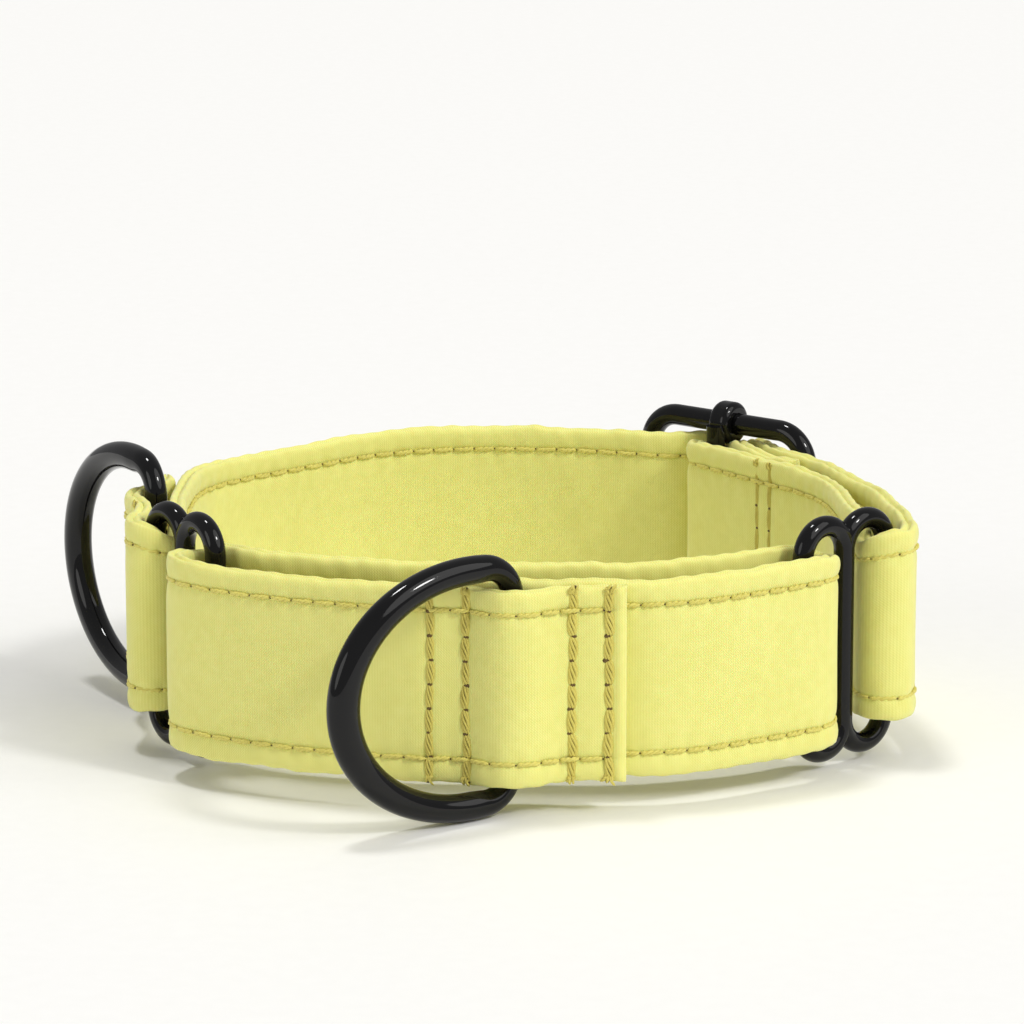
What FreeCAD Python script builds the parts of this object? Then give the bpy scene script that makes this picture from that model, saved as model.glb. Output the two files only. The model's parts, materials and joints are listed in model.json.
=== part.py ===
import FreeCAD, Part
import math
import os

V = FreeCAD.Vector
UP = V(0, 0, 1)

# Straps: a fabric tube over flat webbing, edge-stitched. Millimetres throughout.
STRAP_WIDTH = 25.0
STRAP_THICK = 2.4
COVER_THICK = 2.0
WEBBING_THICK = 1.2
COVER_EDGE = 1.0
NECK_Z = 4.8
LOOP_Z = 3.2
END_COVER = 2.0

# Sewing thread, standing on the faces of the covers within the straps' full thickness.
EDGE_STITCH_IN = 3.0
EDGE_THREAD = 0.5
ROW_THREAD = 0.8
THREAD_GAP = 0.03
ROW_FROM_EDGE = 4.0

# Double-loop connectors: three upright bars joined by round arches.
CONNECTOR_HEIGHT = 32.3
CONNECTOR_WIRE = 2.7
CONNECTOR_PITCH = 7.4
LEFT_CONNECTOR = (-41.8, 4.3)
LEFT_CONNECTOR_TURN = 124.5
RIGHT_CONNECTOR = (42.3, 1.5)
RIGHT_CONNECTOR_TURN = 42.2
TUCK_TOP = 28.1
TUCK_BOTTOM = 4.2
TUCK_WIDTH = 5.2
TUCK_REACH = 6.0

# D-rings: an upright bar, two tight corners and a wide bow.
RING_HALF_HEIGHT = 15.0
RING_CORNER = 4.2
RING_STRAIGHT_END = 6.5
RING_BOW = 18.5
RING_WIRE = 3.6
RING_BAR = 2.9
RING_APEX_WIRE = 4.4
BOW_SECTIONS = 16
FRONT_RING_BAR = (0.0, -21.0)
FRONT_RING_TURN = 215.0
FRONT_RING_Z = 15.9
SIDE_RING_BAR = (-46.7, 24.5)
SIDE_RING_TURN = 119.0
SIDE_RING_Z = 18.0

# Flared mouths of the strap tunnels that hold the rings' bars.
MOUTH_RADIUS = 2.7
MOUTH_LOW = 1.3
MOUTH_HIGH = 0.9

# Slider: a wire frame with a centre bar that is free to slide along it.
SLIDER_CENTRE = (29.65, 58.4)
SLIDER_TURN = -38.0
SLIDER_LENGTH = 29.0
SLIDER_BOTTOM = 0.8
SLIDER_TOP = 33.2
SLIDER_WIRE = 2.9
SLIDER_CORNER = 4.5
SLIDER_BAR = 2.6
SLIDER_BAR_IN = 2.9
KNOB_WIDTH = 3.2
KNOB_ROUND = 0.9
KNOB_WALL = 1.5
KNOB_RUNNING_GAP = 0.08
KNOB_ROOM = (4.6, 7.8)
KNOB_ROOM_MIDDLE = 0.3
KNOB_CLEAR = 0.3

# Sampling of a strap's route: stations lie closer together where it bends.
SHORTEST_STEP = 0.5
LONGEST_STEP = 2.5
BEND_SHARE = 0.25
LAST_STEP = 1.6
NEARLY_STRAIGHT = 0.001
STATIONS_PER_SPAN = 8

LOOP_ROW_X = (12.0, 7.3, -5.3, -10.1)
SIDE_ROW_Y = (30.5, 18.5)
SLIDER_ROW_U = (14.6, 12.0)

# Control loop, from its outer end over the ring's bar, round the left connector, along
# the back, round the right connector and under its own outer end.
LOOP_ROUTE = [
    (14.2, -21.0), (9.5, -21.1), (5.3, -21.7), (2.8, -23.3), (0.0, -24.15), (-2.8, -23.3), (-5.3, -21.6),
    (-9.5, -20.9), (-13.5, -20.2), (-23.4, -17.3), (-31.1, -14.1), (-37.4, -10.5), (-41.0, -7.6),
    (-42.6, -4.6), (-41.8, -1.6), (-39.5, 0.8), (-36.5, 1.0), (-33.0, -1.6), (-26.7, -4.6),
    (-21.7, -6.2), (-16.6, -7.8), (-7.0, -8.8), (2.3, -9.1), (11.0, -9.3), (17.3, -8.3), (23.7, -6.2),
    (30.8, -2.9), (34.6, -0.5), (37.6, 0.1), (39.9, -1.5), (40.2, -3.9), (38.8, -6.3),
    (33.0, -10.6), (27.0, -14.5), (21.5, -17.1), (17.0, -18.3), (12.0, -18.5), (6.0, -18.4),
    (0.0, -17.8), (-6.0, -18.2), (-11.5, -18.0),
]

# Neck strap, as (x, y): the left end outside the side ring's bar, the fold round the left
# connector's outer bar, the left side and the back as far as the slider.
NECK_LEFT = [
    (-45.9, 34.5), (-46.9, 30.0), (-48.9, 27.2), (-49.8, 24.5), (-48.9, 21.0), (-47.8, 17.0), (-48.3, 13.0),
    (-48.7, 9.0), (-47.9, 7.0), (-45.9, 6.2), (-43.9, 7.0), (-43.1, 9.0),
    (-43.3, 14.0), (-43.6, 19.0), (-43.7, 24.5), (-43.4, 30.0), (-42.9, 35.5), (-41.6, 40.5), (-38.8, 45.6),
    (-34.0, 50.9), (-27.2, 56.2), (-19.9, 61.2), (-11.8, 64.2), (-4.2, 65.2), (3.9, 64.9), (11.0, 63.8),
]
# Through the slider, as (along the frame, out from it).
NECK_THROUGH = [
    (-13.4, -5.4), (-9.2, -3.9), (-5.8, -1.5), (-3.0, 2.0), (0.0, 2.9), (4.0, 1.8), (8.6, -1.5), (12.0, -3.1),
    (15.0, -3.7),
]
# The outer layer on the right, the fold round the right connector's outer bar and the
# inner layer back to the slider.
NECK_RIGHT = [
    (44.0, 36.2), (46.5, 30.2), (48.6, 22.6), (50.2, 13.5), (50.8, 7.5),
    (50.7, 4.6), (49.85, 2.55), (47.8, 1.7), (45.75, 2.55), (44.9, 4.6),
    (44.8, 11.0), (44.0, 17.2), (43.0, 26.2), (39.9, 35.8),
]
NECK_RETURN = [(13.0, -9.1), (6.5, -7.4)]
NECK_END = [(4.6, -2.7), (9.0, -5.2), (13.8, -6.4), (16.4, -6.9)]
SLIDER_FOLD = 2.75
FOLD_TURNS = (270, 225, 180, 135, 90)


def ray(turn):
    """Unit vector in plan at this many degrees from +X."""
    return V(math.cos(math.radians(turn)), math.sin(math.radians(turn)), 0)


def slider_point(along, out):
    axis = ray(SLIDER_TURN)
    normal = ray(SLIDER_TURN + 90)
    centre = V(SLIDER_CENTRE[0], SLIDER_CENTRE[1], 0)
    return centre + axis * along + normal * out


def neck_route():
    points = [V(x, y, 0) for x, y in NECK_LEFT]
    points += [slider_point(u, n) for u, n in NECK_THROUGH]
    points += [V(x, y, 0) for x, y in NECK_RIGHT]
    points += [slider_point(u, n) for u, n in NECK_RETURN]
    for turn in FOLD_TURNS:
        spoke = ray(turn) * SLIDER_FOLD
        points.append(slider_point(spoke.x, spoke.y - SLIDER_BAR_IN))
    points += [slider_point(u, n) for u, n in NECK_END]
    return points


def curve_through(points):
    curve = Part.BSplineCurve()
    curve.interpolate(Points=points)
    return curve


def stations(curve, start, end):
    """Distances along a curve, closer together where it bends tightly."""
    places = [start]
    while end - places[-1] > 2 * SHORTEST_STEP:
        at = curve.parameterAtDistance(places[-1], curve.FirstParameter)
        bend = max(curve.curvature(at), NEARLY_STRAIGHT)
        step = min(LONGEST_STEP, max(SHORTEST_STEP, BEND_SHARE / bend))
        left = end - places[-1]
        places.append(places[-1] + (step if left > LAST_STEP * step else left / 2))
    places.append(end)
    return places


def side_edges(curve, places, offset):
    """The curve's parallel, in spans: offset is positive to the left of its travel."""
    points = []
    for place in places:
        at = curve.parameterAtDistance(place, curve.FirstParameter)
        along = curve.tangent(at)[0]
        points.append(curve.value(at) + UP.cross(along) * offset)
    parallel = curve_through(points)
    knots = parallel.getKnots()
    joins = knots[:-1:STATIONS_PER_SPAN] + [knots[-1]]
    return [parallel.toShape(low, high) for low, high in zip(joins, joins[1:])]


def ribbon(curve, start, end, low_side, high_side, bottom, top):
    """An upright strip between two parallels of a curve."""
    places = stations(curve, start, end)
    right = side_edges(curve, places, low_side)
    left = side_edges(curve, places, high_side)
    head = Part.makeLine(right[0].Vertexes[0].Point, left[0].Vertexes[0].Point)
    tail = Part.makeLine(right[-1].Vertexes[-1].Point, left[-1].Vertexes[-1].Point)
    outline = Part.Wire(Part.__sortEdges__(right + [tail] + left[::-1] + [head]))
    strip = Part.Face(outline).extrude(UP * (top - bottom))
    strip.translate(UP * bottom)
    return strip


def place_where(curve, passed):
    """Distance along a curve to the first point that meets a condition."""
    for place in stations(curve, 0, curve.length()):
        if passed(curve.value(curve.parameterAtDistance(place, curve.FirstParameter))):
            return place
    return curve.length()


def rod(low, high, diameter):
    return Part.makeCylinder(diameter / 2, (high - low).Length, low, high - low)


def bend(start, centre, axis, degrees, diameter):
    """A round wire bent about an axis, from its start point."""
    along = axis.cross(start - centre)
    circle = Part.Circle(start, along, diameter / 2).toShape()
    return Part.Face(Part.Wire(circle)).revolve(centre, axis, degrees)


def fused(shapes):
    return shapes[0].multiFuse(shapes[1:]).removeSplitter().Solids[0]


def connector(middle, turn):
    """Two round-ended loops side by side, sharing their middle bar."""
    out = ray(turn)
    normal = UP.cross(out)
    arch = CONNECTOR_PITCH / 2
    low = arch + CONNECTOR_WIRE / 2
    high = CONNECTOR_HEIGHT - low
    centre = V(middle[0], middle[1], 0)
    wires = []
    for side in (-1, 0, 1):
        foot = centre + out * (side * CONNECTOR_PITCH)
        wires.append(rod(foot + UP * low, foot + UP * high, CONNECTOR_WIRE))
    for side in (-1, 1):
        slot = centre + out * (side * arch)
        for z, start in ((high, 1), (low, -1)):
            first = slot + UP * z + out * (start * arch)
            wires.append(bend(first, slot + UP * z, normal * -1, 180, CONNECTOR_WIRE))
    return fused(wires)


def connector_bar(middle, turn, side):
    return V(middle[0], middle[1], 0) + ray(turn) * (side * CONNECTOR_PITCH)


def ring_centreline(angle):
    """Point of the bow, as (depth, height), at an angle round its half ellipse."""
    depth = RING_STRAIGHT_END + RING_BOW * math.cos(angle)
    return V(depth, 0, RING_HALF_HEIGHT * math.sin(angle))


def round_section(spot, along, thick):
    """Closed round section of a wire, square to its run."""
    return Part.Wire(Part.Circle(spot, along, thick / 2).toShape())


def bow_section(angle):
    """Closed oval section of a ring's bow, broadest at its apex."""
    along = V(RING_BOW * math.sin(angle), 0, -RING_HALF_HEIGHT * math.cos(angle)).normalize()
    broad = RING_WIRE + (RING_APEX_WIRE - RING_WIRE) * math.cos(angle) ** 2
    middle = ring_centreline(angle)
    across = along.cross(V(0, 1, 0)).normalize()
    axes = FreeCAD.Matrix(across.x, 0, along.x, middle.x,
                          across.y, 1, along.y, middle.y,
                          across.z, 0, along.z, middle.z,
                          0, 0, 0, 1)
    stretch = FreeCAD.Matrix(broad / RING_WIRE, 0, 0, 0, 0, 1, 0, 0, 0, 0, 1, 0, 0, 0, 0, 1)
    oval = Part.Circle(V(0, 0, 0), UP, RING_WIRE / 2).toShape().toNurbs()
    section = Part.Wire(oval.transformGeometry(stretch).Edges)
    return section.transformGeometry(axes)


def d_ring(bar_at, turn, z):
    """Bar on the Z axis, bow along +X, then turned and put in place."""
    straight = RING_HALF_HEIGHT - RING_CORNER
    pieces = [rod(V(0, 0, -straight), V(0, 0, straight), RING_BAR)]
    for side in (-1, 1):
        start = V(0, 0, side * straight)
        centre = V(RING_CORNER, 0, side * straight)
        pieces.append(bend(start, centre, V(0, side, 0), 90, RING_BAR))
        corner_end = V(RING_CORNER, 0, side * RING_HALF_HEIGHT)
        straight_end = V(RING_STRAIGHT_END, 0, side * RING_HALF_HEIGHT)
        run = V(1, 0, 0)
        ends = [round_section(corner_end, run, RING_BAR), round_section(straight_end, run, RING_WIRE)]
        pieces.append(Part.makeLoft(ends, True, True))
    angles = [math.pi * (0.5 - step / BOW_SECTIONS) for step in range(BOW_SECTIONS + 1)]
    pieces.append(Part.makeLoft([bow_section(angle) for angle in angles], True, False))
    ring = fused(pieces)
    ring.rotate(V(0, 0, 0), UP, turn)
    ring.translate(V(bar_at[0], bar_at[1], z))
    return ring


def slider_frame():
    """Rounded rectangle of wire, standing on its long side."""
    reach = (SLIDER_LENGTH - SLIDER_WIRE) / 2
    low = SLIDER_BOTTOM + SLIDER_WIRE / 2
    high = SLIDER_TOP - SLIDER_WIRE / 2
    normal = ray(SLIDER_TURN + 90)
    wires = []
    for z in (low, high):
        ends = [slider_point(side * (reach - SLIDER_CORNER), 0) + UP * z for side in (-1, 1)]
        wires.append(rod(ends[0], ends[1], SLIDER_WIRE))
    for side in (-1, 1):
        foot = slider_point(side * reach, 0)
        wires.append(rod(foot + UP * (low + SLIDER_CORNER), foot + UP * (high - SLIDER_CORNER), SLIDER_WIRE))
        for z, way in ((low + SLIDER_CORNER, 1), (high - SLIDER_CORNER, -1)):
            centre = slider_point(side * (reach - SLIDER_CORNER), 0) + UP * z
            wires.append(bend(foot + UP * z, centre, normal * (side * way), 90, SLIDER_WIRE))
    return fused(wires)


def slider_bar():
    """Upright bar whose ends wrap round the frame's two long wires."""
    low = SLIDER_BOTTOM + SLIDER_WIRE / 2
    high = SLIDER_TOP - SLIDER_WIRE / 2
    foot = slider_point(0, -SLIDER_BAR_IN)
    solid = [rod(foot + UP * low, foot + UP * high, SLIDER_BAR)]
    hole = []
    for z in (low, high):
        ends = [slider_point(side * KNOB_WIDTH / 2, 0) + UP * z for side in (-1, 1)]
        knob = rod(ends[0], ends[1], SLIDER_WIRE + 2 * KNOB_WALL)
        rims = [edge for edge in knob.Edges if isinstance(edge.Curve, Part.Circle)]
        solid.append(knob.makeFillet(KNOB_ROUND, rims))
        wide = [slider_point(side * KNOB_WIDTH, 0) + UP * z for side in (-1, 1)]
        hole.append(rod(wide[0], wide[1], SLIDER_WIRE + 2 * KNOB_RUNNING_GAP))
    return fused(solid).cut(Part.makeCompound(hole)).Solids[0]


def tuck(middle, turn, side):
    """Room under a connector's arch, where the strap's edge tucks in."""
    bar = connector_bar(middle, turn, side)
    rooms = []
    for bottom, top in ((-TUCK_BOTTOM, TUCK_BOTTOM), (TUCK_TOP, 2 * TUCK_TOP)):
        room = Part.makeBox(TUCK_REACH, TUCK_WIDTH, top - bottom, V(0, -TUCK_WIDTH / 2, bottom))
        room.rotate(V(0, 0, 0), UP, turn + (180 if side > 0 else 0))
        room.translate(bar)
        rooms.append(room)
    return rooms


def hollowed(solid, core):
    """The solid with a closed hollow that exactly fits the core."""
    inside = core.Shells[0].copy()
    inside.reverse()
    return Part.Solid(Part.Compound([solid.Shells[0], inside]))


def knob_rooms():
    """Room round the slider bar's knobs, where the strap's edges dip."""
    low = SLIDER_BOTTOM + SLIDER_WIRE + KNOB_WALL + KNOB_CLEAR
    high = SLIDER_TOP - SLIDER_WIRE - KNOB_WALL - KNOB_CLEAR
    rooms = []
    for bottom, top in ((-high, low), (high, 2 * high)):
        room = Part.makeBox(KNOB_ROOM[0], KNOB_ROOM[1], top - bottom,
                            V(-KNOB_ROOM[0] / 2, KNOB_ROOM_MIDDLE - KNOB_ROOM[1] / 2, bottom))
        room.rotate(V(0, 0, 0), UP, SLIDER_TURN)
        room.translate(slider_point(0, 0))
        rooms.append(room)
    return rooms


def tunnel_mouths(bar_at, bottom):
    """Flared ends of the tunnel that holds a ring's bar, to let its corners turn."""
    foot = V(bar_at[0], bar_at[1], 0)
    top = bottom + STRAP_WIDTH - MOUTH_HIGH
    low = rod(foot, foot + UP * (bottom + MOUTH_LOW), 2 * MOUTH_RADIUS)
    return [low, rod(foot + UP * top, foot + UP * (top + STRAP_WIDTH), 2 * MOUTH_RADIUS)]


def strap(name, curve, bottom, web, rows, rooms):
    """A strap's cover, its webbing and its threads: rows are (distance, face) pairs."""
    end = curve.length()
    top = bottom + STRAP_WIDTH
    face = COVER_THICK / 2
    foot = face + THREAD_GAP
    proud = STRAP_THICK / 2
    half_web = WEBBING_THICK / 2
    webbing = ribbon(curve, END_COVER, end - END_COVER, -half_web, half_web, web[0], web[1])
    cover = ribbon(curve, 0, end, -face, face, bottom, top).cut(Part.makeCompound(rooms)).Solids[0]
    nodes = {name + "_cover": hollowed(cover, webbing), name + "_webbing": webbing}
    for edge, middle in (("lower", bottom + EDGE_STITCH_IN), ("upper", top - EDGE_STITCH_IN)):
        for thread, sides in (("needle", (-proud, -foot)), ("bobbin", (foot, proud))):
            nodes[name + "_" + edge + "_" + thread + "_thread"] = ribbon(
                curve, END_COVER, end - END_COVER, sides[0], sides[1],
                middle - EDGE_THREAD / 2, middle + EDGE_THREAD / 2)
    for number, (place, side) in enumerate(rows, 1):
        sides = sorted((side * foot, side * proud))
        nodes[name + "_row_" + str(number)] = ribbon(
            curve, place - ROW_THREAD / 2, place + ROW_THREAD / 2, sides[0], sides[1],
            bottom + ROW_FROM_EDGE, top - ROW_FROM_EDGE)
    return nodes


def control_loop():
    curve = curve_through([V(x, y, 0) for x, y in LOOP_ROUTE])
    rows = [(place_where(curve, lambda spot: spot.x < x), 1) for x in LOOP_ROW_X]
    rooms = tuck(LEFT_CONNECTOR, LEFT_CONNECTOR_TURN, -1) + tuck(RIGHT_CONNECTOR, RIGHT_CONNECTOR_TURN, -1)
    rooms += tunnel_mouths(FRONT_RING_BAR, LOOP_Z)
    web = (TUCK_BOTTOM + COVER_EDGE / 2, LOOP_Z + STRAP_WIDTH - COVER_EDGE)
    return strap("control_loop", curve, LOOP_Z, web, rows, rooms)


def neck_strap():
    curve = curve_through(neck_route())
    rows = [(place_where(curve, lambda spot: spot.y < y), -1) for y in SIDE_ROW_Y]
    for along in SLIDER_ROW_U:
        target = slider_point(along, NECK_RETURN[0][1])
        nearest = curve.parameter(target)
        rows.append((curve.length(curve.FirstParameter, nearest), 1))
    rooms = tuck(LEFT_CONNECTOR, LEFT_CONNECTOR_TURN, 1) + tuck(RIGHT_CONNECTOR, RIGHT_CONNECTOR_TURN, 1)
    rooms += knob_rooms() + tunnel_mouths(SIDE_RING_BAR, NECK_Z)
    web = (SLIDER_BOTTOM + SLIDER_WIRE + KNOB_WALL + COVER_EDGE, TUCK_TOP - COVER_EDGE / 2)
    return strap("neck_strap", curve, NECK_Z, web, rows, rooms)


def collar():
    nodes = {}
    nodes["left_connector"] = connector(LEFT_CONNECTOR, LEFT_CONNECTOR_TURN)
    nodes["right_connector"] = connector(RIGHT_CONNECTOR, RIGHT_CONNECTOR_TURN)
    nodes["front_ring"] = d_ring(FRONT_RING_BAR, FRONT_RING_TURN, FRONT_RING_Z)
    nodes["side_ring"] = d_ring(SIDE_RING_BAR, SIDE_RING_TURN, SIDE_RING_Z)
    nodes["slider_frame"] = slider_frame()
    nodes["slider_bar"] = slider_bar()
    nodes.update(control_loop())
    nodes.update(neck_strap())
    return nodes


def centred(nodes):
    """Put the origin under the middle of the collar, on the surface it stands on."""
    box = Part.makeCompound(list(nodes.values())).optimalBoundingBox(False)
    shift = V(-box.Center.x, -box.Center.y, -box.ZMin)
    for shape in nodes.values():
        shape.translate(shift)
    return shift


os.makedirs("parts", exist_ok=True)
NODES = collar()
SHIFT = centred(NODES)
for node, shape in NODES.items():
    shape.exportStep("parts/" + node + ".step")
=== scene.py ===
import json
import math

import bpy
import numpy as np
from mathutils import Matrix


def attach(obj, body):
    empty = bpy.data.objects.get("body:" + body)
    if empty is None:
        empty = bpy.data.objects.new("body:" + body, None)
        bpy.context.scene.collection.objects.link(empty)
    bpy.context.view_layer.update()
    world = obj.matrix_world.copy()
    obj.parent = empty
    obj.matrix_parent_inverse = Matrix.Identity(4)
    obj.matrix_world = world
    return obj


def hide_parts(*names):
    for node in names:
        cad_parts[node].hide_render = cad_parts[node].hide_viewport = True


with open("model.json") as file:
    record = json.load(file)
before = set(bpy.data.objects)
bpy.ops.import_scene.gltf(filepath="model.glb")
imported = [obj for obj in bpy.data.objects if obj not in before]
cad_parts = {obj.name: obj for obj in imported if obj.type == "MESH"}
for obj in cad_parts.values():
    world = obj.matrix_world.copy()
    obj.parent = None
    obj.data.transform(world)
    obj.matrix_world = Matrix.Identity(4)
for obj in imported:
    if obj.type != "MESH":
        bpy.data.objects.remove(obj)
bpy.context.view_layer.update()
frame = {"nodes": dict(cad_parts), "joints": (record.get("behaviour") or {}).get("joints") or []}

# Lengths are in millimetres, up to mesh_object and the camera, which turn them into metres.
MM = 0.001

# Straps, on the routes that the frame was built on.
STRAP_WIDTH = 25.0
NECK_BOTTOM = 4.8
LOOP_BOTTOM = 3.2
END_COVER = 2.0
EDGE_STITCH_IN = 3.0
SLIDER_CENTRE = np.array([29.65, 58.4])
SLIDER_TURN = -38.0
SLIDER_BAR_IN = 2.9
SLIDER_FOLD = 2.75
FRONT_RING_BAR = np.array([0.0, -21.0])
FRONT_RING_Z = 15.9
SLOTS = {"left_outer": (-43.9, 7.4), "left_inner": (-40.1, 1.2),
         "right_inner": (39.6, -1.0), "right_outer": (45.2, 3.9)}

LOOP_ROUTE = [
    (14.2, -21.0), (9.5, -21.1), (5.3, -21.7), (2.8, -23.3), (0.0, -24.15), (-2.8, -23.3),
    (-5.3, -21.6), (-9.5, -20.9), (-13.5, -20.2), (-23.4, -17.3), (-31.1, -14.1),
    (-37.4, -10.5), (-41.0, -7.6), (-42.6, -4.6), (-41.8, -1.6), (-39.5, 0.8), (-36.5, 1.0),
    (-33.0, -1.6), (-26.7, -4.6), (-21.7, -6.2), (-16.6, -7.8), (-7.0, -8.8), (2.3, -9.1),
    (11.0, -9.3), (17.3, -8.3), (23.7, -6.2), (30.8, -2.9), (34.6, -0.5), (37.6, 0.1),
    (39.9, -1.5), (40.2, -3.9), (38.8, -6.3), (33.0, -10.6), (27.0, -14.5), (21.5, -17.1),
    (17.0, -18.3), (12.0, -18.5), (6.0, -18.4), (0.0, -17.8), (-6.0, -18.2), (-11.5, -18.0),
]
NECK_LEFT = [
    (-45.9, 34.5), (-46.9, 30.0), (-48.9, 27.2), (-49.8, 24.5), (-48.9, 21.0), (-47.8, 17.0),
    (-48.3, 13.0), (-48.7, 9.0), (-47.9, 7.0), (-45.9, 6.2), (-43.9, 7.0), (-43.1, 9.0),
    (-43.3, 14.0), (-43.6, 19.0), (-43.7, 24.5), (-43.4, 30.0), (-42.9, 35.5), (-41.6, 40.5),
    (-38.8, 45.6), (-34.0, 50.9), (-27.2, 56.2), (-19.9, 61.2), (-11.8, 64.2), (-4.2, 65.2),
    (3.9, 64.9), (11.0, 63.8),
]
NECK_THROUGH = [
    (-13.4, -5.4), (-9.2, -3.9), (-5.8, -1.5), (-3.0, 2.0), (0.0, 2.9), (4.0, 1.8), (8.6, -1.5),
    (12.0, -3.1), (15.0, -3.7),
]
NECK_RIGHT = [
    (44.0, 36.2), (46.5, 30.2), (48.6, 22.6), (50.2, 13.5), (50.8, 7.5), (50.7, 4.6),
    (49.85, 2.55), (47.8, 1.7), (45.75, 2.55), (44.9, 4.6), (44.8, 11.0), (44.0, 17.2),
    (43.0, 26.2), (39.9, 35.8),
]
NECK_RETURN = [(13.0, -9.1), (6.5, -7.4)]
NECK_END = [(4.6, -2.7), (9.0, -5.2), (13.8, -6.4), (16.4, -6.9)]
SLIDER_FOLD_TURNS = (270, 225, 180, 135, 90)
BACK_MIDDLE = (-4.2, 65.2)
BACK_LEFT = (-34.0, 50.9)
RIGHT_RETURN = (44.0, 17.2)

# Upright rows: (place, thickness of their thread), with the place in x on the loop, in y
# beside the side ring, and along the slider.
LOOP_ROWS = ((12.0, 1.0), (7.3, 1.0), (-5.3, 1.0), (-10.1, 0.85))
SIDE_ROWS = ((30.5, 0.45), (18.5, 0.7))
SLIDER_ROWS = ((14.6, 0.6), (12.0, 0.6))

# Tucks under the connectors' arches, the slider's knobs and the slump at the back left:
# (drop of the upper edge, rise of the lower edge, half width).
TUCK_WIDTH = 2.4
LOOP_TUCK = (0.9, 0.5, TUCK_WIDTH)
NECK_TUCK = (1.9, 0.2, TUCK_WIDTH)
KNOB_TUCK = (1.4, 0.8, TUCK_WIDTH)
KNOB_RETURN_TUCK = (1.5, 0.9, TUCK_WIDTH)
BACK_SLUMP = (0.7, 0.0, 15.0)
KNOB_POINT = (0, 2.9)
KNOB_RETURN_POINT = (-1.2, -0.4)

# Cover section: (offset from the strap's middle, distance in from its edge).
LIP = [
    (0.0, 0.5), (0.18, 0.3), (0.36, 0.1), (0.6, 0.0), (0.86, 0.1), (1.06, 0.38), (1.18, 0.85),
    (1.2, 1.4), (1.14, 1.95), (1.02, 2.45), (0.88, 2.8), (0.82, 3.05), (0.88, 3.35),
    (0.98, 3.8), (1.05, 4.5),
]
FACE_STEP = 1.15
FACE_OFFSET = 1.08

# Webbing section: its lower and upper edge, and its rounded corner as shares of WEB_HALF.
WEB_LIMITS = (1.6, 22.6)
WEB_HALF = 0.55
WEB_CORNER_OUT = 0.7
WEB_CORNER_IN = 0.3
WEB_ROWS = 14

# Stations along a strap, and the rounding of its ends.
STATION_STEP = 0.42
END_STATIONS = (0.0, 0.08, 0.25, 0.5, 0.8)
END_REACH = 1.1
END_ROUNDING = 0.9
END_THINNEST = 0.02
SPLINE_SAMPLES = 6000
TANGENT_REACH = 0.15

# Strap coordinates for the weave: millimetres in a unit, and the shift of the left face.
UV_UNIT = 10
FACE_UV_SHIFT = 40

# Noise table, and the row that each use reads.
NOISE_SEED = 7
NOISE_ROWS = 64
NOISE_LENGTH = 512
ROW_PHASE = 7.3
UPPER_LIP_ROW = 0
LOWER_LIP_ROW = 9
LEFT_SWELL_ROW = 20
RIGHT_SWELL_ROW = 30
FACE_ROW = 44
EDGE_SWAY_ROW = 50
EDGE_BULGE_ROW = 51
ROW_STITCH_ROW = 52

# Puckers: (size, lean, wavelength, noise row), how far in they grow to full size, how far
# an upright row holds them flat, and how deep they are on each strap.
PUCKERS = ((0.6, 0.25, 7.0, 40), (0.5, -0.15, 13.0, 41))
PUCKER_REACH = 9
PUCKER_HELD = 2.5
LOOP_SLACK = 0.16
NECK_SLACK = 0.12
BACK_SLACK = 0.75
BACK_REACH = 34.0

# Cover's face and lip.
SEAM_PINCH = 0.16
SEAM_WIDTH = 0.5
BESIDE_SEAM_SWELL = 0.09
BESIDE_SEAM_WIDTH = 1.9
LIP_BEAT = 0.06
CRINKLES = ((1.9, 0.08), (3.3, 0.13), (7.0, 0.15))
SWELL_SHARE = 0.6
CUT_EDGE = 0.3
FACE_FADE = 3
FACE_RIPPLE = 0.05
FACE_RIPPLE_LEAN = 0.3
FACE_RIPPLE_WAVE = 3.1
HEM_SIZE = 0.12
HEM_FOLD = 0.9
HEM_FOLD_WIDTH = 0.5
HEM_SEAM = 2.0
HEM_SEAM_WIDTH = 0.4
ROW_PINCH = 0.2
ROW_PINCH_WIDTH = 0.75

# Threads: (plies, spread, depth, radius of a ply, turns in a stitch).
EDGE_THREAD = (2, 0.15, 0.13, 0.2, 1.7)
ROW_THREAD = (6, 0.47, 0.15, 0.185, 0.5)
STITCH_STEPS = 13
STITCH_SIDES = 6
STITCH_SINK = 0.12
STITCH_ARCH = (0.02, 0.98)
PLIES_AT_HOLE = 0.34
PLIES_OPEN = 0.66
STRAND_TIP = 0.35
ASKEW = (0.31, 0.23, 0.92)

# Needle holes, drawn as low domes dark with painted shade: sides, and heights off the face of the
# rim, half way in and the middle.
HOLE_SIDES = 8
HOLE_HEIGHTS = (0.02, 0.05, 0.055)
HOLE_GAP = 0.1

# Edge stitching: a rise or a size with a pair of values is (usual, seeded change).
EDGE_PITCH = 2.9
EDGE_LIFT = 0.9
EDGE_SWAY = 0.09
EDGE_RISE = (0.34, 0.06)
EDGE_WOBBLE = 0.05
EDGE_HOLE = (0.15, 0.12)

# Upright rows. The last four are places in the row's line of noise.
ROW_PITCH = 3.1
ROW_START = 0.15
ROW_LIFT = 0.9
ROW_SWAY = 0.14
ROW_RISE = (0.2, 0.08)
ROW_WOBBLE = 0.14
ROW_OVERLAP = 0.05
ROW_HOLE = (0.32, 0.12)
ROW_HOLE_ASIDE = 0.34
ROW_HOLE_LIFT = 0.14
ROW_HOLE_FLAT = 0.75
WOBBLE_AT = 60
RISE_AT = 80
HOLE_SIZE_AT = 100
HOLE_ASIDE_AT = 120

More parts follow.
